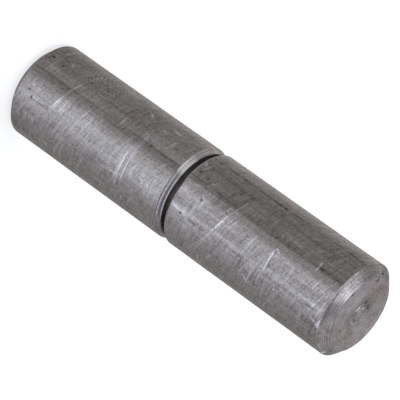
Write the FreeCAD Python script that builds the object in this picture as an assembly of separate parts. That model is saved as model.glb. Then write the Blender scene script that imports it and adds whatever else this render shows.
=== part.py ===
import FreeCAD, Part
import os
from math import hypot, radians, tan

# A weld-on barrel hinge turned from plain round bar. The lower barrel holds a pressed-in pin,
# the upper barrel drops over that pin and turns on it, and a thrust washer keeps the two apart.
# Millimetres. The hinge axis is Z and the hinge stands on the closed end of the pin barrel, at Z = 0.

# Bar stock, and how long each piece of it is cut
bar_diameter = 20.0
pin_barrel_length = 41.5
socket_barrel_length = 41.3

# Hinge pin: how deep it is pressed in, how far it stands out, and its two ends
pin_diameter = 10.0
pin_pressed_depth = 20.0
pin_standing_length = 28.0
pin_foot_chamfer = 0.8
pin_lead_length = 3.0
pin_lead_drop = 0.9
pin_nose_radius = 0.6

# Thrust washer, a plain ring that stands back from the barrels' edges
washer_thickness = 0.9
washer_ring_width = 2.3
washer_bore_clearance = 0.2
washer_edge_break = 0.1

# Blind bores, one tight on the pin and one running on it
socket_running_clearance = 0.08
socket_depth_past_pin = 2.7
drill_point_angle = 118.0
bore_mouth_chamfer = 0.6

# Turned chamfers, each as its radial leg and its axial leg
foot_chamfer_radial = 1.55
foot_chamfer_axial = 1.4
head_chamfer_radial = 1.94
head_chamfer_axial = 1.71
pin_barrel_mouth_radial = 0.65
pin_barrel_mouth_axial = 1.2
socket_mouth_radial = 0.7
socket_mouth_axial = 0.7

# Marks of the turning tool across the chamfers: each groove's place and half width along the
# chamfer, as fractions of it, and the depth of all of them
end_chamfer_grooves = ((0.2, 0.08), (0.47, 0.1), (0.76, 0.12))
pin_barrel_mouth_grooves = ((0.16, 0.1), (0.7, 0.2))
tool_groove_depth = 0.05

# Middle of a closed end, where facing leaves a shallow dish and a pip that stands up in it
dish_diameter = 8.4
dish_depth = 0.28
pip_diameter = 2.7
pip_foot_width = 0.45
pip_top_below_face = 0.04

bar_radius = bar_diameter / 2
pin_radius = pin_diameter / 2
socket_bore_radius = pin_radius + socket_running_clearance
washer_bore_radius = pin_radius + washer_bore_clearance
washer_rim_radius = washer_bore_radius + washer_ring_width

# Heights of the faces that meet
pin_barrel_top = pin_barrel_length
washer_top = pin_barrel_top + washer_thickness
socket_barrel_top = washer_top + socket_barrel_length
pin_foot = pin_barrel_top - pin_pressed_depth
pin_top = pin_barrel_top + pin_standing_length
socket_bore_end = pin_top + socket_depth_past_pin


def place(radius, height):
    """A point of a turning profile, from its distance to the axis and its height."""
    return FreeCAD.Vector(radius, 0, height)


def turned(profile):
    """Turns a closed profile round the hinge axis. Its items are corners, as (radius, height),
    and edges that already exist, such as an arc, with the corners at both their ends listed."""
    edges = []
    for item, following in zip(profile, profile[1:] + profile[:1]):
        if isinstance(item, Part.Shape):
            edges.append(item)
        elif not isinstance(following, Part.Shape):
            edges.append(Part.LineSegment(place(*item), place(*following)).toShape())
    return Part.Face(Part.Wire(edges)).revolve(place(0, 0), FreeCAD.Vector(0, 0, 1), 360)


def turned_chamfer(start, end, grooves):
    """The corners of a chamfer from start to end, with a shallow V for each groove. The grooves go
    into the metal, which lies on the left of the way from start to end."""
    run = end[0] - start[0]
    rise = end[1] - start[1]
    length = hypot(run, rise)

    def corner(share, depth):
        inward_radial = -rise / length * depth
        inward_axial = run / length * depth
        return (start[0] + share * run + inward_radial, start[1] + share * rise + inward_axial)

    corners = [start]
    for middle, half_width in grooves:
        corners.append(corner(middle - half_width, 0))
        corners.append(corner(middle, tool_groove_depth))
        corners.append(corner(middle + half_width, 0))
    corners.append(end)
    return corners


def faced_middle(face_height, way_out):
    """The corners of a closed end's middle, from the dish's rim to the axis.
    way_out is 1 where the end faces up and -1 where it faces down."""
    pip_radius = pip_diameter / 2
    pip_foot_radius = pip_radius + pip_foot_width
    return [
        (dish_diameter / 2, face_height),
        (pip_foot_radius, face_height - way_out * dish_depth),
        (pip_radius, face_height - way_out * pip_top_below_face),
        (0, face_height - way_out * pip_top_below_face),
    ]


def drilled_bore(radius, mouth, end, way_out):
    """The metal that a drill takes out of a blind bore, from its chamfered mouth to its drill point.
    way_out is 1 where the mouth faces up and -1 where it faces down."""
    point_length = radius / tan(radians(drill_point_angle / 2))
    return turned([
        (0, mouth),
        (radius + bore_mouth_chamfer, mouth),
        (radius, mouth - way_out * bore_mouth_chamfer),
        (radius, end),
        (0, end - way_out * point_length),
    ])


def make_pin_barrel():
    foot_face_edge = (bar_radius - foot_chamfer_radial, 0)
    foot_side_edge = (bar_radius, foot_chamfer_axial)
    mouth_side_edge = (bar_radius, pin_barrel_top - pin_barrel_mouth_axial)
    mouth_face_edge = (bar_radius - pin_barrel_mouth_radial, pin_barrel_top)
    blank = turned(
        faced_middle(0, -1)[::-1]
        + turned_chamfer(foot_face_edge, foot_side_edge, end_chamfer_grooves)
        + turned_chamfer(mouth_side_edge, mouth_face_edge, pin_barrel_mouth_grooves)
        + [(0, pin_barrel_top)]
    )
    return blank.cut(drilled_bore(pin_radius, pin_barrel_top, pin_foot, 1))


def make_socket_barrel():
    mouth_face_edge = (bar_radius - socket_mouth_radial, washer_top)
    mouth_side_edge = (bar_radius, washer_top + socket_mouth_axial)
    head_side_edge = (bar_radius, socket_barrel_top - head_chamfer_axial)
    head_face_edge = (bar_radius - head_chamfer_radial, socket_barrel_top)
    blank = turned(
        [(0, washer_top), mouth_face_edge, mouth_side_edge]
        + turned_chamfer(head_side_edge, head_face_edge, end_chamfer_grooves)
        + faced_middle(socket_barrel_top, 1)
    )
    return blank.cut(drilled_bore(socket_bore_radius, washer_top, socket_bore_end, -1))


def make_hinge_pin():
    tip_radius = pin_radius - pin_lead_drop
    nose_side = (tip_radius, pin_top - pin_nose_radius)
    nose_top = (tip_radius - pin_nose_radius, pin_top)
    nose_reach = pin_nose_radius / 2 ** 0.5
    nose_middle = (nose_top[0] + nose_reach, nose_side[1] + nose_reach)
    return turned([
        (0, pin_foot),
        (pin_radius - pin_foot_chamfer, pin_foot),
        (pin_radius, pin_foot + pin_foot_chamfer),
        (pin_radius, pin_top - pin_lead_length),
        nose_side,
        Part.Arc(place(*nose_side), place(*nose_middle), place(*nose_top)).toShape(),
        nose_top,
        (0, pin_top),
    ])


def make_thrust_washer():
    inner_edge = washer_bore_radius + washer_edge_break
    outer_edge = washer_rim_radius - washer_edge_break
    return turned([
        (inner_edge, pin_barrel_top),
        (outer_edge, pin_barrel_top),
        (washer_rim_radius, pin_barrel_top + washer_edge_break),
        (washer_rim_radius, washer_top - washer_edge_break),
        (outer_edge, washer_top),
        (inner_edge, washer_top),
        (washer_bore_radius, washer_top - washer_edge_break),
        (washer_bore_radius, pin_barrel_top + washer_edge_break),
    ])


pieces = {
    "pin_barrel": make_pin_barrel(),
    "hinge_pin": make_hinge_pin(),
    "thrust_washer": make_thrust_washer(),
    "socket_barrel": make_socket_barrel(),
}

os.makedirs("parts", exist_ok=True)
for name, shape in pieces.items():
    shape.exportStep("parts/" + name + ".step")
    print(name, "valid", shape.isValid(), "solids", len(shape.Solids), "mm3", round(shape.Volume, 2))
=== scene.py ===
from math import cos, pi, radians, sin, tan

import bpy
import numpy as np
from mathutils import Matrix, Vector


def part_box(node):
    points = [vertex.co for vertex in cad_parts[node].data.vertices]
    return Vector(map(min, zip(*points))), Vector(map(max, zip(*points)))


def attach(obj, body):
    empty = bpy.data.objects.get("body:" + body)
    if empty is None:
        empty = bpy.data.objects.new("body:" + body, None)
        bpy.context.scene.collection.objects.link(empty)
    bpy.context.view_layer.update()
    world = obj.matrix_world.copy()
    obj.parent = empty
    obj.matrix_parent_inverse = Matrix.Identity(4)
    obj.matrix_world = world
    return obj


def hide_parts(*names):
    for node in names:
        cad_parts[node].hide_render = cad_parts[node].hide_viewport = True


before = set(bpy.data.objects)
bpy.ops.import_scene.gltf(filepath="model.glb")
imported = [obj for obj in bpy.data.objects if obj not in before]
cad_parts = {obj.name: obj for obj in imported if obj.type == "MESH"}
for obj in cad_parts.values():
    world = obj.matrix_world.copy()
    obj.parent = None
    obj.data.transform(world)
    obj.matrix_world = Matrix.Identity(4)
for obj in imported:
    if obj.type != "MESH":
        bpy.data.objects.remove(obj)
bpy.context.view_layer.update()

mm = 0.001
chance = np.random.default_rng(20)


# Colours, and small functions for shader nodes and for what goes into the scene

# An sRGB hex value turned to linear: the low end is a straight line, the rest a power of 2.4
def hexColour(code):
    shares = [int(code[n:n + 2], 16) / 255 for n in (1, 3, 5)]
    linear = [s / 12.92 if s <= 0.04045 else ((s + 0.055) / 1.055) ** 2.4 for s in shares]
    return (*linear, 1.0)


# A setting that names an input, or gives its number, sets that input, and any other sets the node itself
def setNode(node, settings):
    for name, value in settings.items():
        if isinstance(name, int) or name in node.inputs:
            node.inputs[name].default_value = value
        else:
            setattr(node, name, value)


# Adds a node with its settings and links
def addNode(tree, kind, settings=None, links=None):
    node = tree.nodes.new(kind)
    setNode(node, settings or {})
    for name, source in (links or {}).items():
        tree.links.new(source, node.inputs[name])
    return node


# Puts a mesh, a lamp or a camera into the scene
def addObject(name, data):
    thing = bpy.data.objects.new(name, data)
    bpy.context.scene.collection.objects.link(thing)
    return thing


# Geometry: every piece is a profile turned round the hinge axis

# Points of a profile in mm, with the finish number of the run that each ends and whether it lies on a
# handled edge. A corner is (radius, height, ease, spacing, finish). It is eased by a quadratic curve that
# starts and ends at the distance ease from it, and the straight run from it to the next corner is divided
# evenly at about its spacing.
def lineOfPoints(corners):
    points, finishes, edges = [corners[0][:2]], [corners[0][4]], [0.0]
    for n in range(1, len(corners)):
        here = np.array(corners[n][:2])
        before = np.array(corners[n - 1][:2])
        spacing, finish = corners[n - 1][3:5]
        ease = corners[n][2]
        back = (before - here) / np.linalg.norm(before - here)
        last = np.array(points[-1])
        start = here + back * ease
        steps = max(1, round(np.linalg.norm(start - last) / spacing))
        line = [tuple(last + (start - last) * k / steps) for k in range(1, steps + 1)]
        if ease > 0:
            after = np.array(corners[n + 1][:2])
            end = here + (after - here) / np.linalg.norm(after - here) * ease
            line += [tuple(start * (1 - t) ** 2 + here * 2 * t * (1 - t) + end * t ** 2)
                     for t in (1 / 3, 2 / 3, 1.0)]
        points += line
        finishes += [finish] * len(line)
        handled = 1.0 if ease >= turning["edgeEase"] else 0.0
        edges += [0.0] * (steps - 1) + [handled] * (len(line) - steps + 1)
    return np.array(points), np.array(finishes), np.array(edges)


# Turns a profile round the axis: a point at angle a is at radius times (sin a, -cos a). A profile whose
# ends lie on the axis is closed there by single pole points, and any other is joined end to end as a
# ring. relief shifts every point outwards, in mm, and marks are float attributes, as rows by columns.
def turnedSurface(name, profile, finishes, relief, marks):
    columns = turning["columns"]
    capped = profile[0, 0] == 0
    inner = slice(1, -1) if capped else slice(0, -1)
    angle = np.arange(columns) * 2 * pi / columns
    if capped:
        slope = np.gradient(profile, axis=0)[inner]
    else:
        slope = np.roll(profile[:-1], -1, axis=0) - np.roll(profile[:-1], 1, axis=0)
    slope /= np.linalg.norm(slope, axis=1)[:, None]
    radius = profile[inner, 0][:, None] + relief * slope[:, 1][:, None]
    height = profile[inner, 1][:, None] - relief * slope[:, 0][:, None]
    body = np.stack([radius * np.sin(angle), -radius * np.cos(angle), height], -1)
    points = body.reshape(-1, 3)

    rows = len(body)
    grid = np.arange(rows * columns).reshape(rows, columns)
    if not capped:
        grid = np.vstack([grid, grid[0]])
    beside = np.roll(grid, -1, axis=1)
    faces = np.stack([grid[:-1], beside[:-1], beside[1:], grid[1:]], -1).reshape(-1, 4).tolist()
    rowFinish = finishes[2:-1] if capped else finishes[1:]
    faceFinish = np.repeat(rowFinish, columns)
    if capped:
        points = np.concatenate([points, [[0, 0, profile[0, 1]], [0, 0, profile[-1, 1]]]])
        faces += np.stack([np.full(columns, rows * columns), beside[0], grid[0]], -1).tolist()
        faces += np.stack([np.full(columns, rows * columns + 1), grid[-1], beside[-1]], -1).tolist()
        faceFinish = np.concatenate([faceFinish, np.repeat(finishes[[1, -1]], columns)])
    mesh = bpy.data.meshes.new(name)
    mesh.from_pydata(points * mm, [], faces)
    mesh.polygons.foreach_set("use_smooth", np.ones(len(faces), bool))
    mesh.polygons.foreach_set("material_index", faceFinish.astype(np.int32))
    for markName, values in marks.items():
        whole = values.ravel()
        if capped:
            whole = np.concatenate([whole, [values[0].mean(), values[-1].mean()]])
        attribute = mesh.attributes.new(markName, "FLOAT", "POINT")
        attribute.data.foreach_set("value", whole.astype(np.float32))
    mesh.update()
    return addObject(name, mesh)


# Corners of a chamfer from start to end with a V for each (middle, half width) groove, cut into the
# metal on the left of the way, as the turning tool leaves it
def turnedChamfer(start, end, grooves):
    fine, edge = turning["chamferSpacing"], turning["edgeEase"]
    way = np.array(end) - np.array(start)
    inward = np.array([-way[1], way[0]]) / np.linalg.norm(way) * turning["grooveDepth"]
    corners = [(*start, edge, fine, turned)]
    for middle, half in grooves:
        for share, depth in ((middle - half, 0), (middle, 1), (middle + half, 0)):
            corners.append((*(start + way * share + inward * depth), 0, fine, turned))
    corners.append((*end, edge, fine, turned))
    return corners


# Corners of a closed end from its dish to the axis: facing leaves a shallow dish with a pip in it
def facedMiddle(face, wayOut):
    middle = turning["middle"]
    pipFoot = middle["pipRadius"] + middle["pipFootWidth"]
    pipTop = face - wayOut * middle["pipBelowFace"]
    return [
        (middle["dishRadius"], face, middle["dishEase"], middle["dishSpacing"], turned),
        (pipFoot, face - wayOut * middle["dishDepth"], middle["pipFootEase"], middle["pipSpacing"], turned),
        (middle["pipRadius"], pipTop, middle["pipEase"], middle["topSpacing"], turned),
        (0, pipTop, 0, middle["topSpacing"], turned),
    ]


# The sizes that the pieces share, from the frame

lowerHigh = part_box("pin_barrel")[1]
pinLow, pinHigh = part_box("hinge_pin")
washerLow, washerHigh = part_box("thrust_washer")
upperLow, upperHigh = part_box("socket_barrel")
barRadius = lowerHigh.x / mm
pinRadius = pinHigh.x / mm
lowerTop = lowerHigh.z / mm
upperFoot = upperLow.z / mm
upperTop = upperHigh.z / mm

# The finishes, by their number among a barrel's material slots, and the one of a piece with one slot
drawn, turned, bored = 0, 1, 2
single = 0

# sizes in mm, with each spacing as the distance between rows
turning = {
    "columns": 300,
    "wallSpacing": 0.18,  # along the bar's side
    "chamferSpacing": 0.12,
    "faceSpacing": 0.2,
    "mouthSpacing": 1.2,  # on the faces that meet the washer
    "boreMouthSpacing": 0.3,
    "boreSpacing": 6,
    "edgeEase": 0.07,  # the small rounding that handling leaves on every edge
    # grooves of the turning tool: middle and half width as shares of the chamfer, and depth
    "endGrooves": ((0.2, 0.08), (0.47, 0.1), (0.76, 0.12)),
    "mouthGrooves": ((0.16, 0.1), (0.7, 0.2)),
    "grooveDepth": 0.012,
    "drillPoint": 118,  # degrees
    "boreMouth": 0.6,
    "middle": {
        "dishRadius": 4.2, "dishDepth": 0.28, "dishEase": 0.3, "dishSpacing": 0.12,
        "pipRadius": 1.35, "pipBelowFace": 0.04, "pipEase": 0.04, "topSpacing": 0.16,
        "pipFootWidth": 0.45, "pipFootEase": 0.1, "pipSpacing": 0.1,
    },
}


# Marks: each one on the side is a patch worked out with the bar laid flat, in mm up it and round it

# Smooth noise on a grid that closes on itself: white noise whose waves shorter than the given numbers of
# rows and columns are damped by a Gaussian, scaled to a spread of 1
def smoothNoise(rows, columns, rowSize, columnSize):
    waves = np.fft.fft2(chance.normal(size=(rows, columns)))
    slow = np.hypot(np.fft.fftfreq(rows)[:, None] * rowSize, np.fft.fftfreq(columns) * columnSize)
    noise = np.fft.ifft2(waves * np.exp(-3 * slow ** 2)).real
    return (noise - noise.mean()) / noise.std()


# Strength that comes and goes: smooth noise with a middle, a spread and a size in rows and columns, kept
# between 0 and a limit
def patchy(rows, columns, look):
    middle, spread, rowSize, columnSize, limit = look
    return np.clip(middle + spread * smoothNoise(rows, columns, rowSize, columnSize), 0, limit)


# How far round the bar each angle is from a middle angle, in mm, the short way
def arcFrom(angle, middle):
    return ((angle - radians(middle) + pi) % (2 * pi) - pi) * barRadius


# A round spot: a Gaussian of the distance from its middle, given as two parts
def spot(across, along, size):
    return np.exp(-(across ** 2 + along ** 2) / size ** 2)


# A stroke from one (height, degrees) to another: a Gaussian of the distance from the straight line
# between them, fading towards both ends by the fourth power
def stroke(height, angle, start, end, width):
    middle = (start[1] + end[1]) / 2
    arc = arcFrom(angle, middle)
    first = np.array([start[0], radians(start[1] - middle) * barRadius])
    way = np.array([end[0], radians(end[1] - middle) * barRadius]) - first
    share = ((height - first[0]) * way[0] + (arc - first[1]) * way[1]) / way.dot(way)
    nearest = np.clip(share, 0, 1)
    away = np.hypot(height - first[0] - nearest * way[0], arc - first[1] - nearest * way[1])
    return np.exp(-(away / width) ** 2) * (1 - (2 * nearest - 1) ** 4)


# A lengthwise band between two angles, with soft sides as wide as its edge, in degrees
def band(angle, left, right, edge):
    away = np.degrees(np.abs(arcFrom(angle, (left + right) / 2)) / barRadius)
    return 1 / (1 + np.exp(np.clip((away - (right - left) / 2) / (edge / 4), -30, 30)))


# 1 between two heights and 0 beyond them, with a soft change as long as its edge, in mm
def between(height, lowest, highest, edge):
    away = np.abs(height - (lowest + highest) / 2) - (highest - lowest) / 2
    return 1 / (1 + np.exp(np.clip(away / edge, -30, 30)))


# All marks of a barrel: its relief in mm, and how bright and how dark each point is, from 0 to 1, by its
# wear, grime and pits and by painted highlight and painted shade
def barrelMarks(profile, finishes, edges, marks):
    rows, columns = len(profile) - 2, turning["columns"]
    radius, height = profile[1:-1, 0][:, None], profile[1:-1, 1][:, None]
    finish = finishes[1:-1][:, None]
    wall = (finish == drawn) & (radius > barRadius - handling["wallReach"])
    angle = (np.arange(columns) * 2 * pi / columns)[None, :]
    broken = patchy(rows, columns, handling["broken"])
    drawnLines = patchy(rows, columns, handling["drawnLines"])
    bright = np.zeros((rows, columns))
    dark = np.zeros((rows, columns))
    relief = handling["waviness"] * smoothNoise(rows, columns, *handling["wavinessSize"]) * wall

    # lengthwise bands: partly the die's streaks, partly painted highlight and painted shade beside the
    # lamps' band of light
    for lowest, highest, left, right, darkness, edge in marks["streaksAndLightBands"]:
        inside = band(angle, left, right, edge) * between(height, lowest, highest, handling["bandEnd"])
        dark += inside * drawnLines * max(darkness, 0)
        bright += inside * drawnLines * (1 + broken) / 2 * max(-darkness, 0)
    # scratches, and wide soft strokes that are painted light and painted shade
    for *line, width, strength in marks["scratchesAndPaintedLight"] + strayScratches(marks):
        mark = stroke(height, angle, line[:2], line[2:], width) * broken * abs(strength)
        if strength > 0:
            bright += mark
            relief -= handling["scratchDepth"] * mark
        else:
            dark += mark
            relief -= handling["scratchDepth"] * handling["darkScratchShare"] * mark
    for up, around, size, depth in marks["pits"] + strayPits(marks):
        hole = spot(height - up, arcFrom(angle, around), size)
        relief -= hole * depth
        dark += hole * min(handling["pitLimit"], handling["pitDarkness"] * depth)
    for up, around, long, wide, turn in marks["dings"]:
        across, along = arcFrom(angle, around), height - up
        lean = radians(turn)
        u = along * cos(lean) + across * sin(lean)
        v = across * cos(lean) - along * sin(lean)
        dent = spot(u / long, v / wide, 1)
        lip = spot(u / long, (v + wide * handling["lipPlace"]) / wide, 1)
        relief -= dent * handling["dingDepth"]
        relief += lip * handling["lipHeight"]
        bright += dent * handling["dingBrightness"]
    for lowest, highest, left, right, waveLength, slant in marks["chatter"]:
        across = arcFrom(angle, (left + right) / 2)
        reach = np.exp(-((height - (lowest + highest) / 2) / (highest - lowest) * 2) ** 4
                       - (across / (radians(right - left) / 2 * barRadius)) ** 4)
        drift = handling["chatterDrift"] * smoothNoise(rows, columns, *handling["chatterSize"])
        phase = (height + slant * across) / waveLength + drift
        relief += np.sin(2 * pi * phase) * reach * handling["chatterDepth"]
        # the slope of each ripple towards the lamps is painted lighter and the slope away painted darker
        rubbedAndHighlit = np.sin(2 * pi * phase + handling["chatterLag"])
        bright += np.clip(rubbedAndHighlit, 0, 1) * reach * handling["chatterShade"]
        dark += np.clip(-rubbedAndHighlit, 0, 1) * reach * handling["chatterShade"]
    relief, bright, dark = relief * wall, bright * wall, dark * wall

    # facing marks: each row of the closed end stands a little higher or lower than the next
    fromEnd = np.abs(height - marks["face"])
    closed = fromEnd < handling["endReach"]
    face = (finish == turned) & (fromEnd < handling["faceReach"]) & (radius < marks["faceEdge"])
    drift = chance.normal(size=(rows, 1)) + handling["facingDrift"] * smoothNoise(
        rows, columns, *handling["facingSize"])
    relief += face * drift * handling["facingDepth"] * (radius > handling["smoothMiddle"])
    x, y = radius * np.sin(angle), -radius * np.cos(angle)
    onEnd = (finish == turned) & closed
    # pits of the closed end, and wide shallow spots that are painted shade on it
    for right, back, size, depth in marks["facePitsAndShade"]:
        hole = spot(x - right, y - back, size) * onEnd
        relief -= hole * depth
        dark += hole * min(handling["facePitLimit"], handling["pitDarkness"] * depth)
    # nicks, and painted highlights on the face
    for right, back, size, strength in marks["faceNicksAndHighlights"]:
        bright += spot(x - right, y - back, size) * strength * onEnd

    # painted highlights and painted shade on the chamfers, broken into the lines of the turning tool
    outer = radius > pinRadius + handling["boreRim"]
    tool = patchy(rows, columns, handling["toolLines"]) * ((finish == turned) & ~face & outer)
    for lowest, highest, left, right, darkness, edge in marks["chamferHighlightAndShade"]:
        inside = band(angle, left, right, edge) * between(height, lowest, highest, handling["stripeEnd"])
        dark += inside * tool * max(darkness, 0)
        bright += inside * tool * max(-darkness, 0)

    # the corners are rubbed bright, more in some places than in others
    edge = edges[1:-1][:, None] * patchy(rows, columns, handling["rubbedEdges"])
    bright += edge * outer * np.where(closed, handling["endWear"], handling["mouthWear"])

    # the bar is set back by the reach of its waves, so that nothing stands out past its own size
    relief = np.minimum(relief - 2 * handling["waviness"], 0)
    return relief, {"bright": np.clip(bright, 0, 1), "dark": np.clip(dark, 0, 1)}


# Scratches at random over the whole bar, most of them round it and leaning a little, some along it
def strayScratches(marks):
    low, high, margin, endMargin = marks["low"], marks["high"], stray["margin"], stray["endMargin"]
    lines = []
    for n in range(marks["strays"]):
        up = chance.uniform(low + margin, high - margin)
        around = chance.uniform(-180, 180)
        long = chance.uniform(*stray["length"])
        lean = radians(chance.normal(*stray["leanRound" if n % stray["alongEvery"] else "leanAlong"]))
        turn = np.degrees(long * cos(lean) / barRadius)
        rise = min(max(long * sin(lean), low + endMargin - up), high - endMargin - up)
        strength = chance.uniform(*stray["strength"]) * (1 if n % stray["darkEvery"] else -1)
        lines.append((up, around, up + rise, around - turn, chance.uniform(*stray["width"]), strength))
    return lines


# Small pits at random, left by rolled-in scale
def strayPits(marks):
    sizes, depths = stray["pitSize"], stray["pitDepth"]
    least = (marks["low"] + stray["margin"], -180, sizes[0], depths[0])
    most = (marks["high"] - stray["margin"], 180, sizes[1], depths[1])
    return [tuple(pit) for pit in chance.uniform(least, most, size=(marks["strayPits"], 4))]


# sizes and depths in mm, brightness and darkness from 0 to 1, and the sizes of noise in rows and columns
handling = {
    "waviness": 0.006, "wavinessSize": (26, 36),
    # how marks come and go: middle, spread, size in rows and in columns, limit
    "broken": (0.75, 0.3, 3, 12, 1),
    "drawnLines": (0.85, 0.28, 70, 2, 1.6),
    "toolLines": (0.8, 0.2, 1.5, 30, 1.4),
    "rubbedEdges": (0.45, 0.35, 2, 16, 1),
    "bandEnd": 0.4, "stripeEnd": 0.03,  # softness of their upper and lower ends
    "scratchDepth": 0.012, "darkScratchShare": 0.7,
    "pitDarkness": 14, "pitLimit": 1.5, "facePitLimit": 1.3,  # darkness for each mm of depth
    "dingDepth": 0.07, "dingBrightness": 0.7,
    "lipHeight": 0.03, "lipPlace": 1.5,  # metal raised beside a ding, in its half widths
    "chatterDepth": 0.015, "chatterShade": 0.12, "chatterLag": 0.9,  # radians from relief to shade
    "chatterDrift": 0.35, "chatterSize": (18, 14),  # drift in wave lengths
    "facingDepth": 0.0052, "facingDrift": 0.4, "facingSize": (1, 60),
    "endWear": 0.12, "mouthWear": 0.06,  # how bright the corners are rubbed
    "wallReach": 0.01, "endReach": 3, "faceReach": 0.5,  # how far the side, an end and its face reach
    "smoothMiddle": 0.4, "boreRim": 1,  # left smooth: the pip's middle, and round a bore
}

stray = {
    "length": (1.2, 6.5), "width": (0.1, 0.16), "strength": (0.08, 0.3),
    "leanRound": (16, 7), "leanAlong": (90, 3),  # middle and spread in degrees
    "alongEvery": 4, "darkEvery": 3,
    "pitSize": (0.1, 0.18), "pitDepth": (0.005, 0.035),
    "margin": 1, "endMargin": 0.8,  # from the chamfers to a mark's start and end
}

print("helpers ready")


# Pin barrel: the lower half, closed below, with the pin's bore open above

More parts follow.
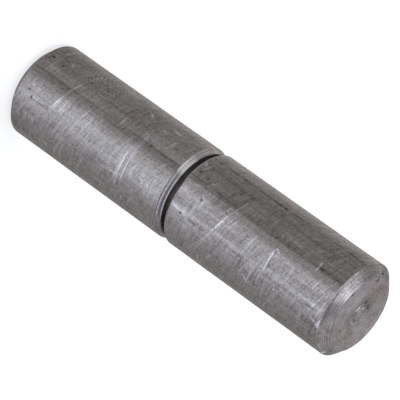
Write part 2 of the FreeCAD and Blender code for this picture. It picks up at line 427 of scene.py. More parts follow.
pinBarrel = {
    "footRadial": 1.55, "footAxial": 1.4,  # mm, chamfer of the closed end
    "mouthRadial": 0.65, "mouthAxial": 1.2,  # mm, chamfer where it meets the other half
    "boreDepth": 20,
    "marks": {
        # heights in mm where the drawn side starts and ends and of the closed end, the radius in mm of its
        # flat face, and how many marks are strewn at random
        "low": 1.4, "high": 40.3, "face": 0, "faceEdge": 8.4, "strays": 220, "strayPits": 40,
        # lengthwise bands, partly the die's streaks and partly painted highlight and painted shade along the
        # lamps' band of light:
        # lowest, highest, left and right in degrees, darkness, which is below 0 where it is bright, and
        # softness of the sides in degrees
        "streaksAndLightBands": [
            (0, 41.5, -17.4, -10.2, 0.16, 0.6),
            (0, 41.5, -17.8, -16.6, 0.36, 0.5),
            (0, 41.5, -14.2, -12.2, -0.06, 0.6),
            (31, 41.5, -76, -18.6, -0.09, 3),
            (0, 41.5, -10.8, -10.2, 0.28, 0.5),
            (0, 41.5, -9.5, 24, -0.13, 5),
            (0, 41.5, -28, -18.2, -0.13, 1.5),
            (0, 41.5, -62, -17, 0.1, 3),
            (19, 39, -45.2, -44.4, 0.22, 0.5),
            (0, 6, -44.6, -43.8, 0.3, 0.5),
            (0, 41.5, 96, 104, 0.25, 1.5),
            (0, 41.5, 150, 153, 0.25, 0.8),
            (0, 41.5, -130, -118, 0.2, 2),
        ],
        # the same for the chamfers: painted highlights and painted shade, broken by the turning tool's lines
        "chamferHighlightAndShade": [
            (40.34, 40.8, -37, -10.5, -0.5, 6), (40.92, 41.5, -37, -10.5, -0.62, 6),
            (40.3, 41.5, -60, -11.5, -0.37, 8), (40.3, 41.5, -28, -12.5, -0.26, 5),
            (40.24, 40.5, -12, 52, 0.86, 5), (40.54, 40.8, -10, 48, -0.22, 6),
            (40.86, 41.22, -9, 46, 0.78, 6), (41.3, 41.5, -10, 46, -0.25, 6),
            (40.3, 41.5, -7, -2, -0.13, 4), (40.3, 41.5, 5, 27, 0.06, 6), (40.3, 41.5, -84, -65, 0.35, 6),
        ],
        # height, degrees, height, degrees, width in mm, strength, which is below 0 where it is dark
        "scratchesAndPaintedLight": [
            (28.7, -20, 28.8, 30, 0.1, 0.5), (29.1, -26, 29.2, 44, 0.1, 0.45),
            (28.4, -12, 28.4, 20, 0.1, 0.3), (29.6, -12, 29.6, 30, 0.15, 0.7),
            (29.6, 4, 29.6, 50, 0.12, 0.45), (30.1, -22, 30.2, 34, 0.1, 0.4),
            (30.7, -36, 30.8, 40, 0.12, 0.6), (31.2, -24, 31.1, 12, 0.1, 0.4),
            (30.7, 20, 30.7, 56, 0.1, 0.35), (9.8, 17, 12.6, -34, 0.11, 0.55),
            (11.2, -12, 12.7, -36, 0.12, 0.4),
            (10, 16, 10.9, -3, 0.1, 0.6), (10.5, 14, 11.4, -5, 0.12, 0.55),
            (11.5, 12, 12.1, -4, 0.1, 0.45), (12, 13, 12.7, -6, 0.13, 0.5), (12.6, 14, 13.2, -4, 0.11, 0.35),
            (13.2, 62, 15.7, 27, 0.11, 0.5), (15.7, 30, 17.9, -16, 0.11, 0.38),
            (18.2, 20, 19.4, -8, 0.1, 0.25), (6.2, 24, 7.4, -6, 0.1, 0.25), (20, 12, 21.6, -18, 0.1, 0.25),
            (21.5, 34, 23.6, 4, 0.16, 0.2), (21.2, 52, 22.3, 12, 0.17, -0.35),
            (24.5, -31, 24.5, -15, 0.15, 0.6), (25.2, 34.5, 30.4, 31, 0.13, 0.65),
            (5, 17, 9.9, 17, 0.13, -0.7), (4, 37, 8.8, 38, 0.32, 0.35),
            (4.2, -64, 4.1, -10, 0.14, 0.35), (35.4, 28, 36.2, 12, 0.24, 0.3),
            (36.6, 34, 37, 16, 0.2, 0.25), (26.6, 30, 27.2, -4, 0.2, 0.25),
            (35.8, -40, 35.9, -18, 0.2, 0.35), (2.8, 44, 4.2, 24, 0.2, 0.25),
            (9, 66, 10.2, 50, 0.2, 0.25), (26.8, 52, 27.4, 28, 0.22, -0.25),
            (1.5, 60, 4.3, 60, 0.2, -0.4), (32.6, 78, 33.2, 44, 0.2, -0.3),
            (22.4, 40, 23.8, 22, 0.2, -0.35), (34, -66, 37.5, -60, 0.16, -0.2),
            # wide soft patches of painted light and painted shade
            (11.5, -5, 22, -5, 1.6, 0.16), (21, 3, 31, 3, 1.4, -0.1), (21, 27, 31, 27, 1.4, -0.08),
            (31, 21, 41.5, 23, 1.4, 0.12),
        ],
        # height, degrees, size and depth in mm
        "pits": [
            (3.8, 10, 0.2, 0.1), (5, 16.2, 0.2, 0.1), (2.95, -37.2, 0.24, 0.1), (6, -34.7, 0.22, 0.1),
            (4.4, 18.1, 0.15, 0.05), (5.3, 18.1, 0.14, 0.05), (6.9, -36, 0.16, 0.06),
            (13.2, -37.3, 0.2, 0.1), (17.1, -40.6, 0.15, 0.06), (8.3, -36, 0.18, 0.05),
            (34.6, 22, 0.2, 0.05), (21, 38, 0.2, 0.05), (5, 60, 0.24, 0.07), (32.8, -17, 0.22, 0.045),
        ],
        # height, degrees, half length and half width in mm, lean in degrees
        "dings": [
            (27.4, -51, 0.7, 0.2, 35), (34.1, -51.5, 0.85, 0.22, 8), (32.1, -41.5, 0.4, 0.18, 0),
            (7.1, -43, 0.5, 0.16, 30), (37.1, 62, 0.3, 0.18, 0), (10.9, 58, 0.4, 0.2, 60),
            (31.5, 55, 0.3, 0.15, 0), (20.5, 120, 0.6, 0.2, 20), (33.4, -150, 0.5, 0.2, 70),
        ],
        # lowest, highest, left, right, wave length in mm, slant
        "chatter": [(8.6, 20.5, -70, -40, 0.9, -0.75)],
        # x and y in mm, size and depth in mm
        "facePitsAndShade": [(5.2, 3.1, 0.3, 0.06), (-3.4, 6.2, 0.25, 0.06), (-1.2, -5.5, 0.22, 0.05)],
        # x and y in mm, size, brightness
        "faceNicksAndHighlights": [(4.4, -8.2, 0.35, 0.9)],
    },
}


# The barrel's profile from its closed end's axis out, up the side, over the mouth and down the bore
def pinBarrelProfile(sizes):
    edge, far, rim = turning["edgeEase"], turning["boreSpacing"], turning["boreMouth"]
    boreFoot = lowerTop - sizes["boreDepth"]
    point = pinRadius / tan(radians(turning["drillPoint"] / 2))
    middle = [(*c[:3], turning["faceSpacing"], turned) for c in facedMiddle(0, -1)[::-1]]
    foot = turnedChamfer((barRadius - sizes["footRadial"], 0), (barRadius, sizes["footAxial"]),
                         turning["endGrooves"])
    foot[-1] = (*foot[-1][:3], turning["wallSpacing"], drawn)
    mouth = turnedChamfer((barRadius, lowerTop - sizes["mouthAxial"]),
                          (barRadius - sizes["mouthRadial"], lowerTop), turning["mouthGrooves"])
    mouth[-1] = (*mouth[-1][:3], turning["mouthSpacing"], turned)
    bore = [
        (pinRadius + rim, lowerTop, edge, turning["boreMouthSpacing"], bored),
        (pinRadius, lowerTop - rim, edge, far, bored),
        (pinRadius, boreFoot, edge, far, bored),
        (0, boreFoot - point, 0, far, bored),
    ]
    return lineOfPoints(middle + foot + mouth + bore)


profile, finishes, edges = pinBarrelProfile(pinBarrel)
relief, marks = barrelMarks(profile, finishes, edges, pinBarrel["marks"])
pinBarrelPiece = turnedSurface("pin_barrel_bar", profile, finishes, relief, marks)
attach(pinBarrelPiece, "lower")
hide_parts("pin_barrel")
print("pin barrel ready, rows", len(profile))


# Socket barrel: the upper half, open below, closed by the turned face that shows

socketBarrel = {
    "headRadial": 1.94, "headAxial": 1.71,  # mm, chamfer of the closed end
    "mouthRadial": 0.7, "mouthAxial": 0.7,  # mm, chamfer where it meets the other half
    "clearance": 0.08,  # mm, between bore and pin
    "boreDepth": 29.8,
    "marks": {
        "low": 43.1, "high": 81.99, "face": 83.7, "faceEdge": 8, "strays": 220, "strayPits": 40,
        # lengthwise bands, partly streaks and partly painted highlight and painted shade along the lamps'
        # band of light
        "streaksAndLightBands": [
            (42, 84, -53, -13, 0.15, 0.5),
            (42, 84, -12.6, 2, -0.07, 1.2),
            (42, 84, -53.4, -52.6, 0.2, 0.5),
            (42, 84, -18.5, -13.2, 0.08, 0.8),
            (42, 84, 7.5, 17, 0.14, 2.4),
            (42, 48.5, 6.5, 15, 0.12, 3),
            (42, 84, 18.2, 22.6, -0.14, 1.4),
            (42, 84, 100, 109, 0.2, 1.5),
            (42, 84, 162, 165, 0.25, 0.8),
            (42, 84, -128, -116, 0.22, 2),
        ],
        # painted highlights and painted shade on the chamfers, one of them along the head's far rim
        "chamferHighlightAndShade": [
            (82.2, 82.38, -17, 34, 0.7, 6), (82.56, 82.72, -15, 24, 0.62, 6),
            (82.92, 83.06, -13, 20, 0.5, 6), (83.28, 83.42, -12, 14, 0.38, 6),
            (82.2, 83.66, -16.5, -4.5, -0.26, 5), (82.2, 83.66, -42, -17, -0.06, 8),
            (82.1, 83.66, 12, 36, -0.11, 8), (82.1, 83.66, 64, 88, -0.22, 8),
            (82.1, 83.66, -68, -46, -0.05, 8), (82.1, 83.66, -92, -77, -0.13, 6),
            (82.2, 83.66, -3, 11, -0.09, 5), (83.6, 83.8, 100, 190, -0.4, 12),
            (42.98, 43.2, -72, -8, -0.4, 8),
        ],
        "scratchesAndPaintedLight": [
            (43.5, -52.6, 45.8, -52.3, 0.17, -0.9), (47.4, -52.4, 50.6, -52.8, 0.15, -0.9),
            (50.2, -52.8, 54.6, -53, 0.13, -0.7), (54.6, -53, 58.5, -52.6, 0.15, -0.8),
            (58.2, -52.8, 62.6, -53.4, 0.16, -0.95), (62.4, -53.6, 68.4, -53.2, 0.16, -0.9),
            (70.6, -52.2, 73.4, -54.2, 0.14, -0.85), (73.6, -53.4, 76.2, -54.6, 0.15, -0.8),
            (76.8, -54, 81.8, -53.6, 0.17, -0.9),
            (47, 25, 50.4, 25.6, 0.17, -0.7), (45.4, 24.4, 46.6, 24.8, 0.14, -0.5),
            (57.4, 24.6, 62.2, 25.2, 0.16, -0.6), (67, 24.8, 70.8, 25.2, 0.15, -0.55),
            (71.2, 24.6, 74.8, 25, 0.16, -0.6), (77.2, 25, 79.6, 24.6, 0.18, -0.65),
            (42.8, -18, 57, -17.2, 0.2, -0.35), (74.5, -15.6, 82, -16, 0.2, -0.5),
            (44, -37, 60, -37.4, 0.2, -0.3), (60, -36.4, 78, -36.8, 0.2, -0.25),
            (53.4, 22, 56.5, -31, 0.13, 0.7), (54.4, 18, 57.2, -30, 0.1, 0.4),
            (55, 17, 57.7, -28, 0.1, 0.4), (55.8, 16, 58.4, -26, 0.1, 0.3),
            (53.9, 17, 54.9, 1, 0.2, 0.6), (55, 15, 55.7, 4, 0.16, 0.4),
            (51.6, 42, 53.6, 22, 0.12, 0.3), (64.6, 30, 66, 4, 0.1, 0.3),
            (49, 62, 52.9, 30, 0.1, 0.22), (60.6, 22, 62.4, -6, 0.11, 0.35),
            (62.8, 20, 64, 2, 0.1, 0.3), (58, 28, 59.4, 8, 0.1, 0.25),
            (73.4, 26, 74.6, 6, 0.1, 0.3), (69, 34, 70.8, 10, 0.1, 0.25),
            (70.2, -20, 71.4, -46, 0.1, 0.22), (67.4, -14, 68.8, -40, 0.1, 0.25),
            (76.4, 66, 79.4, 40, 0.14, 0.25),
            (66.9, -5, 66.8, 26, 0.15, 0.8), (66.9, -5.5, 68.1, -2.2, 0.15, 0.7),
            (66.4, 22, 66.5, 38, 0.15, 0.35), (66.2, 10, 66.1, 22, 0.2, 0.35),
            (61.2, 22, 62.2, 2, 0.14, 0.35), (62.2, 20, 62.8, 2, 0.12, 0.3),
            (71, 15, 71.2, 10, 0.15, 0.7), (72, 16, 72.4, 11, 0.15, 0.75),
            (75.9, -28, 75.95, -10, 0.13, 0.95), (76, -20, 76, -12, 0.2, 0.6),
            (78.2, 38, 80.4, 5, 0.13, 0.4), (80.6, 32, 81.6, 6, 0.12, 0.4),
            (51, 74, 52.4, 56, 0.16, 0.45), (51.9, 76, 53.2, 56, 0.15, 0.4),
            (54, 56, 55, 45, 0.15, 0.55), (47.2, 30, 48.2, 6, 0.2, 0.4), (46.2, 22, 46.9, 4, 0.2, 0.3),
            (43.2, 20, 47.6, 24, 0.26, 0.45), (44.2, -28, 45, -42, 0.2, 0.3),
            (67.8, 54, 68.4, 36, 0.18, 0.3), (57, 78, 58.4, 64, 0.18, 0.25), (76.8, 52, 78, 26, 0.22, 0.22),
            (61.5, 38, 61.6, 20, 0.2, -0.25), (75.6, 76, 75.8, 20, 0.18, -0.2),
            # the wide dark stroke beside the ding under the head is painted shade
            (79.5, 32.6, 81.9, 39.6, 0.14, 0.6), (77.8, 42.6, 81.9, 44.6, 0.6, -0.24),
            (81.9, 30.5, 81.6, 41.5, 0.15, 1.3),
            # wide soft patches of painted light and painted shade
            (41.5, 3, 51, 1, 4.6, 0.09), (42, -8, 51, -7, 1.8, 0.14), (41.5, 44, 51, 44, 4, 0.08),
            (42, -75, 50, -75, 1.5, 0.16), (50.5, -3, 58.5, -3, 0.9, -0.09), (57, 18, 83, 18, 0.6, -0.11),
            (73.5, -62, 83, -62, 1.6, -0.12), (50, -22, 58, -22, 0.7, -0.07),
        ],
        "pits": [
            (46.5, -24, 0.22, 0.08), (48.3, -1, 0.24, 0.08), (48, -3, 0.14, 0.05),
            (51.3, -53, 0.24, 0.07), (45.8, 24, 0.2, 0.07), (47.3, 63, 0.26, 0.06),
            (44.3, -26, 0.2, 0.07), (76.9, -16, 0.5, 0.016), (61.8, -53, 0.28, 0.07),
            (65.4, -15.5, 0.2, 0.05), (54.2, -5, 0.16, 0.05),
        ],
        "dings": [
            (81.7, 37, 0.6, 0.17, -76), (47.8, -17, 0.25, 0.12, 0),
            (48.9, -18, 0.2, 0.12, 0), (66.2, -20, 0.2, 0.1, 0),
            (63.4, 43, 0.5, 0.16, 30), (43.7, -38, 0.5, 0.2, 60), (60, 135, 0.6, 0.2, 20),
            (71, -140, 0.5, 0.2, 70),
        ],
        "chatter": [(52, 64, 118, 150, 0.95, 0.5)],
        "facePitsAndShade": [
            (-8.5, -1, 0.36, 0.08), (-7.03, -2, 0.36, 0.09), (-2.2, -7.2, 0.34, 0.08),
            (-2.4, -0.2, 0.3, 0.1), (-2.1, 1.3, 0.22, 0.08), (-1.75, 1.8, 0.21, 0.08),
            # the wide shallow one beside the pip is painted shade over its highlight
            (-1.9, 0.6, 0.2, 0.05), (-0.6, -1.5, 0.42, 0.03), (-1.5, -1.6, 0.24, 0.045),
            (0.3, -1.5, 0.22, 0.04), (1.25, 6, 0.24, 0.04), (-1.6, 4.9, 0.2, 0.03),
            (-6.8, 0.1, 0.3, 0.02), (-6.2, -4.5, 0.3, 0.02), (-4, -6.3, 0.3, 0.02), (3.5, 3.3, 0.24, 0.02),
            (6.1, -4.1, 0.26, 0.02), (5.2, -1, 0.24, 0.02),
            # wide shallow ones: painted shade on the dish and the face, not pits
            (-2.8, 0.5, 1.3, 0.014), (-0.8, 3, 1.5, 0.02), (-2.4, 2.3, 1.2, 0.012),
            (-5.8, 1.2, 2.2, 0.007), (5.8, 2.2, 2.2, 0.007), (1.2, 3.2, 1.3, 0.01),
        ],
        "faceNicksAndHighlights": [
            # nicks, and painted highlights: a wide faint one on the face and small ones round the pip's edge
            (9.6, -0.35, 0.34, 1.2), (9.2, -4.4, 0.2, 0.9), (-1.2, -3.6, 1.2, 0.1),
            (-1.2, -0.6, 0.19, 0.5), (-1.33, -0.15, 0.19, 0.6), (-1.43, 0.3, 0.19, 0.6),
            (-1.52, 0.75, 0.18, 0.5),
            (2.15, -0.6, 0.11, 0.7), (2.25, -0.1, 0.12, 0.7), (2.2, 0.4, 0.11, 0.6),
            (7.4, -0.2, 0.14, 0.4), (7.4, 1.1, 0.14, 0.4),
        ],
    },
}


# The barrel's profile from the drill point down the bore, over the mouth, up the side and in to the axis
def socketBarrelProfile(sizes):
    edge, far, rim = turning["edgeEase"], turning["boreSpacing"], turning["boreMouth"]
    boreRadius = pinRadius + sizes["clearance"]
    boreEnd = upperFoot + sizes["boreDepth"]
    point = boreRadius / tan(radians(turning["drillPoint"] / 2))
    bore = [
        (0, boreEnd + point, 0, far, bored),
        (boreRadius, boreEnd, edge, far, bored),
        (boreRadius, upperFoot + rim, edge, turning["boreMouthSpacing"], bored),
        (boreRadius + rim, upperFoot, edge, turning["mouthSpacing"], turned),
    ]
    mouth = [
        (barRadius - sizes["mouthRadial"], upperFoot, edge, turning["chamferSpacing"], turned),
        (barRadius, upperFoot + sizes["mouthAxial"], edge, turning["wallSpacing"], drawn),
    ]
    head = turnedChamfer((barRadius, upperTop - sizes["headAxial"]),
                         (barRadius - sizes["headRadial"], upperTop), turning["endGrooves"])
    head[-1] = (*head[-1][:3], turning["faceSpacing"], turned)
    return lineOfPoints(bore + mouth + head + facedMiddle(upperTop, 1))


profile, finishes, edges = socketBarrelProfile(socketBarrel)
relief, marks = barrelMarks(profile, finishes, edges, socketBarrel["marks"])
socketBarrelPiece = turnedSurface("socket_barrel_bar", profile, finishes, relief, marks)
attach(socketBarrelPiece, "upper")
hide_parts("socket_barrel")
print("socket barrel ready, rows", len(profile))


# Hinge pin: pressed into the pin barrel, with a tapered lead and a rounded nose for the socket

# sizes in mm
hingePin = {
    "footChamfer": 0.8,
    "leadLength": 3, "leadDrop": 0.9,
    "noseRadius": 0.6, "edgeEase": 0.05,
    "spacing": 0.4, "footSpacing": 0.2, "noseSpacing": 0.3,
    # unevenness that grinding leaves: depth in mm, size in rows and columns
    "grindingDepth": 0.0015, "grindingSize": (1, 50),
}


# The pin's profile from its foot's axis up to its nose: the nose's corner is eased by its radius
def hingePinProfile(sizes):
    foot, top = pinLow.z / mm, pinHigh.z / mm
    edge, step = sizes["edgeEase"], sizes["spacing"]
    return lineOfPoints([
        (0, foot, 0, step, single),
        (pinRadius - sizes["footChamfer"], foot, edge, sizes["footSpacing"], single),
        (pinRadius, foot + sizes["footChamfer"], edge, step, single),
        (pinRadius, top - sizes["leadLength"], edge, step, single),
        (pinRadius - sizes["leadDrop"], top, sizes["noseRadius"], sizes["noseSpacing"], single),
        (0, top, 0, step, single),
    ])


profile, finishes = hingePinProfile(hingePin)[:2]
ground = smoothNoise(len(profile) - 2, turning["columns"], *hingePin["grindingSize"])
hingePinPiece = turnedSurface("hinge_pin_ground", profile, finishes,
                              -np.abs(ground) * hingePin["grindingDepth"], {})
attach(hingePinPiece, "lower")
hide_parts("hinge_pin")
print("hinge pin ready, rows", len(profile))


# Thrust washer: a stamped ring between the barrels

# sizes in mm, and what stamping leaves as for the pin
thrustWasher = {
    "ringWidth": 2.3, "edgeBreak": 0.1, "spacing": 0.2,
    "stampingDepth": 0.003, "stampingSize": (4, 20),
}


# The washer's section, a rectangle with broken corners, from the middle of its inner side round and back
def thrustWasherProfile(sizes):
    foot, top = washerLow.z / mm, washerHigh.z / mm
    rim = washerHigh.x / mm
    bore = rim - sizes["ringWidth"]
    corners = [(bore, foot), (rim, foot), (rim, top), (bore, top)]
    start = (bore, (foot + top) / 2, 0, sizes["spacing"], single)
    return lineOfPoints([start] + [(*c, sizes["edgeBreak"], sizes["spacing"], single) for c in corners]
                        + [start])


profile, finishes = thrustWasherProfile(thrustWasher)[:2]
stamped = smoothNoise(len(profile) - 1, turning["columns"], *thrustWasher["stampingSize"])
thrustWasherPiece = turnedSurface("thrust_washer_ring", profile, finishes,
                                  -np.abs(stamped) * thrustWasher["stampingDepth"], {})
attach(thrustWasherPiece, "washer")
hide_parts("thrust_washer")
print("thrust washer ready, rows", len(profile))


# Materials. Pattern sizes are in mm: a Mapping node of the Texture kind divides the place by them. Real
# grain and grinding lines are a few hundredths of a mm, too fine to show, so they are drawn this coarse.

steels = {
    "drawn": {
        # the pale colour that scratches are rubbed to is also that of painted highlights, and the near black
        # of grime is also that of painted shade
        "colour": "#746e69", "light": "#8d8885", "shade": "#4f4945", "rubbedAndHighlit": "#c9c7c8", "grimeAndShade": "#292422",
        "roughness": 0.5, "spread": 0.08, "anisotropic": 0.8, "grazing": 0.68, "bump": 0.02,
        "speckSize": 2.6,
        # size in mm along X, Y and Z, lean in degrees, detail and roughness of the noise
        "patterns": {
            "mottle": ((0.76, 0.76, 0.76), 0, 5, 0.75),
            "die": ((0.6, 0.6, 6), 0, 3, 0.65),
            "rub": ((3.2, 3.2, 0.3), 18, 2, 0.6),
            "grain": ((0.34, 0.34, 0.34), 0, 2, 0.6),
        },
        # a pattern's values from and to, and the strengths that they become
        "ranges": {
            "worn": (0.8, 1.4, 0, 1), "dull": (0.99, 0.77, 0, 0.7), "specks": (0.07, 0.03, 0, 0.6),
            "gaps": (0.4, 0.58, 0.6, 1.1),
        },
    },
    "turned": {
        # as on the drawn side, the pale colour also lays painted highlights and the near black painted shade
        "colour": "#827c7a", "shade": "#5c5453", "rubbedAndHighlit": "#dddad9", "grimeAndShade": "#2b2624",
        "roughness": 0.42, "spread": 0.08, "anisotropic": 0.45, "grazing": 0.75, "bump": 0.009,
        "ringSize": 0.24,
        "patterns": {"patch": ((2.2, 2.2, 2.2), 0, 5, 0.7), "grain": ((0.4, 0.4, 0.4), 0, 1, 0.6)},
        "ranges": {"marked": (1.75, 1.2, 0, 1)},
    },
    # drilled and reamed inside the barrels: dull, with fine feed lines round the bore
    "bored": {
        "colour": "#6f6a66", "roughness": 0.42, "spread": 0.06, "bump": 0.02,
        "patterns": {"lines": ((30, 30, 0.25), 0, 3, 0.6), "patch": ((2.5, 2.5, 2.5), 0, 4, 0.6)},
    },
    # centreless ground: brighter and smoother than the rest, with hair-fine lines round the pin
    "ground": {
        "colour": "#a6a4a2", "roughness": 0.2, "spread": 0.06, "bump": 0.004,
        "patterns": {"lines": ((12, 12, 0.22), 0, 3, 0.6), "patch": ((2.5, 2.5, 2.5), 0, 4, 0.6)},
    },
    # stamped from rolled strip: flat faces with straight rolling lines, a little yellower than the bars
    "washer": {
        "colour": "#8c8a80", "roughness": 0.36, "spread": 0.06, "bump": 0.006,
        "patterns": {"lines": ((0.3, 9, 9), 0, 3, 0.6), "patch": ((2.5, 2.5, 2.5), 0, 4, 0.6)},
    },
}

rangeInputs = ("From Min", "From Max", "To Min", "To Max")
glossRange = (0.3, 0.7)  # the values of a noise between which the roughness changes
hollows = {"tone": 0.72, "range": (0.8, 1.15, 0, 1)}  # darker places in a worked pattern
brushTurn = 0.25  # a quarter turn, which lays the smear of fine lines across them


# A material with its tree, the Object coordinates of what it is on, and its patterns: noises between 0
# and 1, stretched to their sizes and turned by their lean round Y
def startMaterial(name, look):
    material = bpy.data.materials.new(name)
    material.use_nodes = True
    tree = material.node_tree
    place = addNode(tree, "ShaderNodeTexCoord").outputs["Object"]
    patterns = []
    for size, lean, detail, roughness in look["patterns"].values():
        laid = addNode(tree, "ShaderNodeMapping",
                       {"vector_type": "TEXTURE", "Scale": [s * mm for s in size],
                        "Rotation": (0, radians(lean), 0)}, {"Vector": place})
        noise = addNode(tree, "ShaderNodeTexNoise", {"Scale": 1, "Detail": detail, "Roughness": roughness},
                        {"Vector": laid.outputs["Vector"]})
        patterns.append(noise.outputs["Fac"])
    return material, tree, place, patterns


# Lays colours over the steel's own, one after another, each as strongly as the share beside it
def layColours(tree, look, layers):
    under = {}
    for layer, share in layers:
        mixed = addNode(tree, "ShaderNodeMix",
                        {"data_type": "RGBA", 6: hexColour(look["colour"]), 7: hexColour(look[layer])},
                        {**under, 0: share})
        under = {6: mixed.outputs[2]}
    return mixed.outputs[2]


# Gives a steel its colour, a gloss that changes with one pattern, and the fine relief of another
def finishSteel(tree, look, colour, gloss, height):
    shader = tree.nodes["Principled BSDF"]
    roughest, smoothest = look["roughness"] + look["spread"], look["roughness"] - look["spread"]
    rough = addNode(tree, "ShaderNodeMapRange",
                    dict(zip(rangeInputs, (*glossRange, roughest, smoothest))), {"Value": gloss})
    bump = addNode(tree, "ShaderNodeBump", {"Strength": 1, "Distance": look["bump"] * mm},
                   {"Height": height})
    tree.links.new(colour, shader.inputs["Base Color"])
    tree.links.new(rough.outputs[0], shader.inputs["Roughness"])
    tree.links.new(bump.outputs["Normal"], shader.inputs["Normal"])
    setNode(shader, {"Metallic": 1})
    return shader


# Fine lines round the bar, which smear its reflections along it, and a darker tone at grazing angles
def brushRound(tree, look, shader):
    setNode(shader, {"Specular Tint": (look["grazing"],) * 3 + (1,), "Anisotropic": look["anisotropic"],
                     "Anisotropic Rotation": brushTurn})
    tangent = addNode(tree, "ShaderNodeTangent", {"direction_type": "RADIAL", "axis": "Z"})
    tree.links.new(tangent.outputs["Tangent"], shader.inputs["Tangent"])


# How bright and how dark each point of a barrel is, as its marks say: scratches, dings, grime and pits, and
# painted highlights and painted shade
def marksAndPaintedLightOf(tree):
    return [addNode(tree, "ShaderNodeAttribute", {"attribute_name": name}).outputs["Fac"]
            for name in ("bright", "dark")]


# Cold drawn mild steel, as cut from the rack and handled since. The die leaves fine streaks along it, and
# rubbing against other bars leaves lines round it, which smear every reflection along the bar, so it shows
# one broad soft band of light on dull warm grey, broken by small dark pits and bright scratches.
def coldDrawnSteel(look):
    material, tree, place, (mottle, die, rub, grain) = startMaterial("cold drawn mild steel", look)
    bright, dark = marksAndPaintedLightOf(tree)
    laid = addNode(tree, "ShaderNodeMapping",
                   {"vector_type": "TEXTURE", "Scale": [look["speckSize"] * mm] * 3}, {"Vector": place})
    specks = addNode(tree, "ShaderNodeTexVoronoi", {"Scale": 1}, {"Vector": laid.outputs["Vector"]})

    # light where mottling and the die's streaks are high, shaded where rubbing and grain are low
    worn = addNode(tree, "ShaderNodeMath", {"operation": "ADD"}, {0: mottle, 1: die}).outputs[0]
    dull = addNode(tree, "ShaderNodeMath", {"operation": "ADD"}, {0: rub, 1: grain}).outputs[0]
    height = addNode(tree, "ShaderNodeMath", {"operation": "ADD"}, {0: worn, 1: dull}).outputs[0]
    sources = {"worn": worn, "dull": dull, "specks": specks.outputs["Distance"], "gaps": grain}
    share = {name: addNode(tree, "ShaderNodeMapRange", dict(zip(rangeInputs, look["ranges"][name])),
                           {"Value": source}).outputs[0] for name, source in sources.items()}
    # the bright attribute lays scratches, dings and painted highlights in a pale colour, and the dark one
    # pits, grime and painted shade in a near black
    scrapedAndHighlit = addNode(tree, "ShaderNodeMath", {"operation": "MULTIPLY"}, {0: bright, 1: share["gaps"]})
    colour = layColours(tree, look, [
        ("light", share["worn"]), ("shade", share["dull"]), ("grimeAndShade", share["specks"]),
        ("rubbedAndHighlit", scrapedAndHighlit.outputs[0]), ("grimeAndShade", dark),
    ])
    brushRound(tree, look, finishSteel(tree, look, colour, mottle, height))
    return material


# Mild steel fresh from the lathe, on the chamfers and the faces. The tool leaves fine rings, which spread
# a reflection into two soft wedges, and it is lighter than the drawn side because its skin is cut off.
def turnedSteel(look):
    material, tree, place, (patch, grain) = startMaterial("turned mild steel", look)
    bright, dark = marksAndPaintedLightOf(tree)
    flat = addNode(tree, "ShaderNodeMapping", {"Scale": (1, 1, 0)}, {"Vector": place})
    out = addNode(tree, "ShaderNodeVectorMath", {"operation": "LENGTH"}, {0: flat.outputs["Vector"]})
    count = addNode(tree, "ShaderNodeMath", {"operation": "MULTIPLY", 1: 1 / (look["ringSize"] * mm)},
                    {0: out.outputs["Value"]})
    rings = addNode(tree, "ShaderNodeTexNoise", {"noise_dimensions": "1D", "Scale": 1, "Detail": 2},
                    {"W": count.outputs[0]})
    both = addNode(tree, "ShaderNodeMath", {"operation": "ADD"}, {0: rings.outputs["Fac"], 1: patch})
    marked = addNode(tree, "ShaderNodeMath", {"operation": "ADD"}, {0: both.outputs[0], 1: grain}).outputs[0]
    share = addNode(tree, "ShaderNodeMapRange", dict(zip(rangeInputs, look["ranges"]["marked"])),
                    {"Value": marked})
    # the bright attribute lays painted highlights, worn corners and nicks in a pale colour, and the dark one
    # pits and painted shade in a near black
    colour = layColours(tree, look, [("shade", share.outputs[0]), ("rubbedAndHighlit", bright), ("grimeAndShade", dark)])
    brushRound(tree, look, finishSteel(tree, look, colour, patch, marked))
    return material


# Steel with one fine pattern of the way it was worked, which changes its tone a little and its gloss
def workedSteel(name, look):
    material, tree, _, (lines, patch) = startMaterial(name, look)
    both = addNode(tree, "ShaderNodeMath", {"operation": "ADD"}, {0: lines, 1: patch})
    share = addNode(tree, "ShaderNodeMapRange", dict(zip(rangeInputs, hollows["range"])),
                    {"Value": both.outputs[0]})
    plain = hexColour(look["colour"])
    deep = tuple(hollows["tone"] * c for c in plain[:3]) + (1,)
    colour = addNode(tree, "ShaderNodeMix", {"data_type": "RGBA", 6: deep, 7: plain}, {0: share.outputs[0]})
    finishSteel(tree, look, colour.outputs[2], patch, lines)
    return material


barSteels = [coldDrawnSteel(steels["drawn"]), turnedSteel(steels["turned"]),
             workedSteel("reamed mild steel", steels["bored"])]
for piece in (pinBarrelPiece, socketBarrelPiece):
    for steel in barSteels:
        piece.data.materials.append(steel)
hingePinPiece.data.materials.append(workedSteel("ground pin steel", steels["ground"]))
thrustWasherPiece.data.materials.append(workedSteel("stamped washer steel", steels["washer"]))
print("materials ready")


# Floor, backdrop and lamps

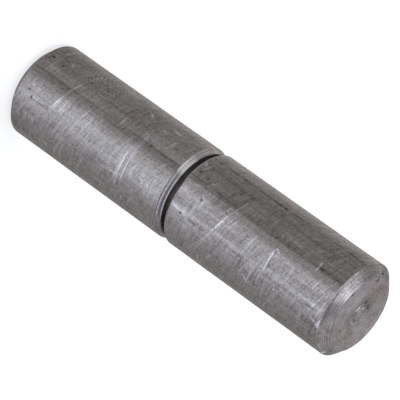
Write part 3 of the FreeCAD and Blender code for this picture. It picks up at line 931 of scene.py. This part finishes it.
studio = {
    "floorSize": 6,  # m
    "floorColour": 0.93,
    "floorGlow": 0.7,  # share of the floor that is seen as plain white, the rest is lit
    "worldStrength": 0.6,
    "lampDistance": 0.6,  # m to the middle of the hinge
    "softboxes": {
        # azimuth, 0 on the camera's side and 90 at +X, elevation, width and height in m, strength, colour
        "windowLeft": (5, 2.6, 0.16, 0.12, 14, "#eef0ff"),
        "windowMiddle": (20, 2.6, 0.16, 0.12, 14.5, "#d4e3ff"),
        "windowRight": (35, 2.6, 0.16, 0.12, 14.5, "#e6ecff"),
        "windowEdge": (52, 2.6, 0.2, 0.12, 12, "#d2dcff"),
        "windowSide": (80, 2.6, 0.4, 0.12, 2.6, "#ccd9ff"),
        "windowTop": (5, 20, 0.24, 0.2, 3, "#cfe2ff"),
        "rim": (-130, 6, 0.2, 0.16, 7.2, "#f8faf9"),
        "overhead": (-10, 70, 0.2, 0.2, 5.4, "#eaf0ff"),
        "overheadLeft": (-105, 70, 0.25, 0.25, 7.6, "#ebf0ff"),
        "overheadBack": (-172, 60, 0.24, 0.2, 3.6, "#c7d9ff"),
        "back": (180, 40, 0.3, 0.3, 1.3, "#ffffff"),
        "right": (95, 45, 0.4, 0.3, 1.5, "#ebeffa"),
        "rightBack": (120, 30, 0.4, 0.3, 0.5, "#f0f2fa"),
    },
}


# The way from the hinge to a place at an azimuth and an elevation, in degrees, as a vector of length 1
def direction(azimuth, elevation):
    a, e = radians(azimuth), radians(elevation)
    return Vector((sin(a) * cos(e), -cos(a) * cos(e), sin(e)))


# A rectangular lamp that faces the middle of the hinge. Its power follows from its strength, the
# brightness that a mirror would show in it, as strength times pi times its area.
def addSoftbox(name, azimuth, elevation, width, height, strength, colour):
    lamp = bpy.data.lights.new(name, "AREA")
    lamp.shape = "RECTANGLE"
    lamp.size = width
    lamp.size_y = height
    lamp.energy = strength * pi * width * height
    lamp.color = hexColour(colour)[:3]
    holder = addObject(name, lamp)
    holder.visible_camera = False
    way = direction(azimuth, elevation)
    holder.location = Vector((0, 0, upperTop * mm / 2)) + way * studio["lampDistance"]
    holder.rotation_euler = way.to_track_quat("Z", "Y").to_euler()


for boxName, box in studio["softboxes"].items():
    addSoftbox(boxName, *box)

world = bpy.data.worlds.new("studio")
bpy.context.scene.world = world
world.use_nodes = True
setNode(world.node_tree.nodes["Background"], {"Color": (1, 1, 1, 1), "Strength": studio["worldStrength"]})

half = studio["floorSize"] / 2
floorMesh = bpy.data.meshes.new("floor")
floorMesh.from_pydata([(-half, -half, 0), (half, -half, 0), (half, half, 0), (-half, half, 0)], [],
                      [(0, 1, 2, 3)])
floor = addObject("floor", floorMesh)


# Matt white paper. What the camera, gloss and glass see of it is mostly plain white at a strength of 1, and
# the rest is the lit paper, which keeps the hinge's shadow.
def whitePaper():
    material = bpy.data.materials.new("white paper")
    material.use_nodes = True
    tree = material.node_tree
    shader = tree.nodes["Principled BSDF"]
    setNode(shader, {"Base Color": (studio["floorColour"],) * 3 + (1,), "Roughness": 1,
                     "Specular IOR Level": 0})
    path = addNode(tree, "ShaderNodeLightPath")
    seen = path.outputs["Is Camera Ray"]
    for ray in ("Is Glossy Ray", "Is Transmission Ray"):
        seen = addNode(tree, "ShaderNodeMath", {"operation": "ADD", "use_clamp": True},
                       {0: seen, 1: path.outputs[ray]}).outputs[0]
    share = addNode(tree, "ShaderNodeMath", {"operation": "MULTIPLY", 1: studio["floorGlow"]}, {0: seen})
    glow = addNode(tree, "ShaderNodeEmission", {"Color": (1, 1, 1, 1), "Strength": 1})
    mixed = addNode(tree, "ShaderNodeMixShader", {},
                    {0: share.outputs[0], 1: shader.outputs["BSDF"], 2: glow.outputs["Emission"]})
    tree.links.new(mixed.outputs["Shader"], tree.nodes["Material Output"].inputs["Surface"])
    return material


floorMesh.materials.append(whitePaper())
print("studio ready")


# Camera: looking down at the photograph's angle, and rolled, so that the standing hinge lies across the
# picture

cameraSet = {
    "elevation": 28.03,  # degrees above the horizon
    "roll": 125.63,  # degrees, anticlockwise
    "distance": 643.6,  # mm to the middle of the hinge
    "right": 0.68,  # mm that the camera stands to the right of the line to the hinge
    "up": -0.504,  # mm, likewise
    "lens": 305.8,  # mm
    "sensorWidth": 36,
    "nearest": 0.05, "farthest": 10,  # m
}


# A camera that looks along the line from its place to the hinge, turned round that line by its roll
def addCamera(settings):
    back = direction(0, settings["elevation"])
    level = Vector((1, 0, 0))
    rise = back.cross(level)
    roll = radians(settings["roll"])
    right = level * cos(roll) + rise * sin(roll)
    up = rise * cos(roll) - level * sin(roll)
    camera = addObject("camera", bpy.data.cameras.new("camera"))
    camera.data.lens = settings["lens"]
    camera.data.sensor_width = settings["sensorWidth"]
    camera.data.clip_start = settings["nearest"]
    camera.data.clip_end = settings["farthest"]
    place = Vector((0, 0, upperTop / 2)) + back * settings["distance"]
    place += right * settings["right"] + up * settings["up"]
    turn = Matrix((right, up, back)).transposed().to_4x4()
    camera.matrix_world = Matrix.Translation(place * mm) @ turn
    bpy.context.scene.camera = camera


addCamera(cameraSet)
bpy.context.scene.view_settings.view_transform = "Standard"
print("camera ready")
